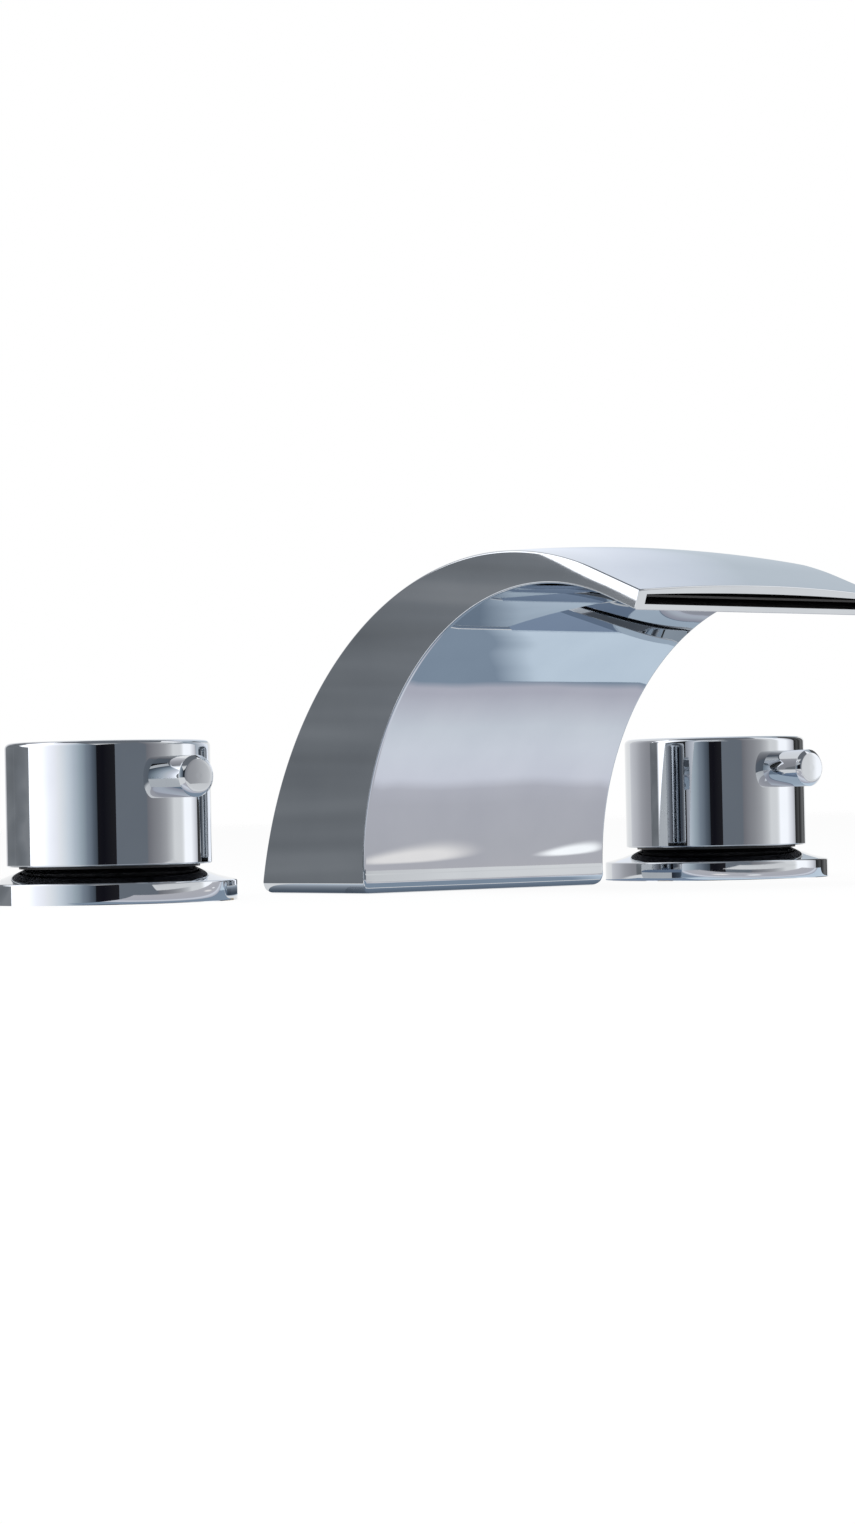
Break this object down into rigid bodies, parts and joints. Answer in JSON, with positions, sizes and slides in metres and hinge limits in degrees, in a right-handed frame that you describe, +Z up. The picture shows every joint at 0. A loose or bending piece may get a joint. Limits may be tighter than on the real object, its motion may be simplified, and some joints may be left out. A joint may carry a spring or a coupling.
{
  "type": "widespread bathroom faucet",
  "caption": "Chrome widespread bathroom faucet: broad arched waterfall spout with a slot outlet, between hot and cold quarter-turn valves with round knobs and pin levers.",
  "frame": {"origin": "on the deck's top face, on the axis of the spout's shank", "axes": "+X from the hot valve to the cold valve, -Y towards the user along the spout, +Z up"},
  "size_m": [0.2652, 0.1574, 0.157],
  "materials": {
    "chrome": "polished chrome plate",
    "brass": "machined brass",
    "stainless": "machined stainless steel",
    "black_rubber": "matt moulded rubber",
    "black_plastic": "moulded plastic",
    "white_plastic": "moulded plastic",
    "white_ceramic": "lapped ceramic",
    "hot_mark": "gloss red",
    "cold_mark": "gloss blue"
  },
  "bodies": {
    "base": {"spout_body": "chrome", "hot_escutcheon": "chrome", "cold_escutcheon": "chrome", "spout_base_plate": "brass", "spout_shank": "brass", "spout_lock_nut": "brass", "hot_valve_body": "brass", "hot_cartridge_housing": "brass", "hot_lock_nut": "brass", "cold_valve_body": "brass", "cold_cartridge_housing": "brass", "cold_lock_nut": "brass", "base_plate_screws": "stainless", "spout_steel_washer": "stainless", "hot_steel_washer": "stainless", "cold_steel_washer": "stainless", "spout_gasket": "black_rubber", "shank_oring": "black_rubber", "spout_rubber_washer": "black_rubber", "hot_escutcheon_gasket": "black_rubber", "hot_cartridge_oring": "black_rubber", "hot_seat_seal": "black_rubber", "hot_rubber_washer": "black_rubber", "cold_escutcheon_gasket": "black_rubber", "cold_cartridge_oring": "black_rubber", "cold_seat_seal": "black_rubber", "cold_rubber_washer": "black_rubber", "slot_liner": "black_plastic", "hot_glide_ring": "black_plastic", "cold_glide_ring": "black_plastic", "hot_thrust_washer": "white_plastic", "cold_thrust_washer": "white_plastic", "hot_fixed_disc": "white_ceramic", "cold_fixed_disc": "white_ceramic"},
    "hot_handle": {"hot_moving_disc": "white_ceramic", "hot_stem": "brass", "hot_stem_orings": "black_rubber", "hot_stem_clip": "stainless", "hot_knob": "chrome", "hot_lever_pin": "chrome", "hot_set_screw": "stainless", "hot_index_dot": "hot_mark"},
    "cold_handle": {"cold_moving_disc": "white_ceramic", "cold_stem": "brass", "cold_stem_orings": "black_rubber", "cold_stem_clip": "stainless", "cold_knob": "chrome", "cold_lever_pin": "chrome", "cold_set_screw": "stainless", "cold_index_dot": "cold_mark"}
  },
  "joints": [
    {"name": "hot_turn", "type": "hinge", "parent": "base", "child": "hot_handle", "pos_m": [-0.1016, 0, 0.03], "axis": [0, 0, 1], "range_deg": [0, 90]},
    {"name": "cold_turn", "type": "hinge", "parent": "base", "child": "cold_handle", "pos_m": [0.1016, 0, 0.03], "axis": [0, 0, -1], "range_deg": [0, 90]}
  ]
}
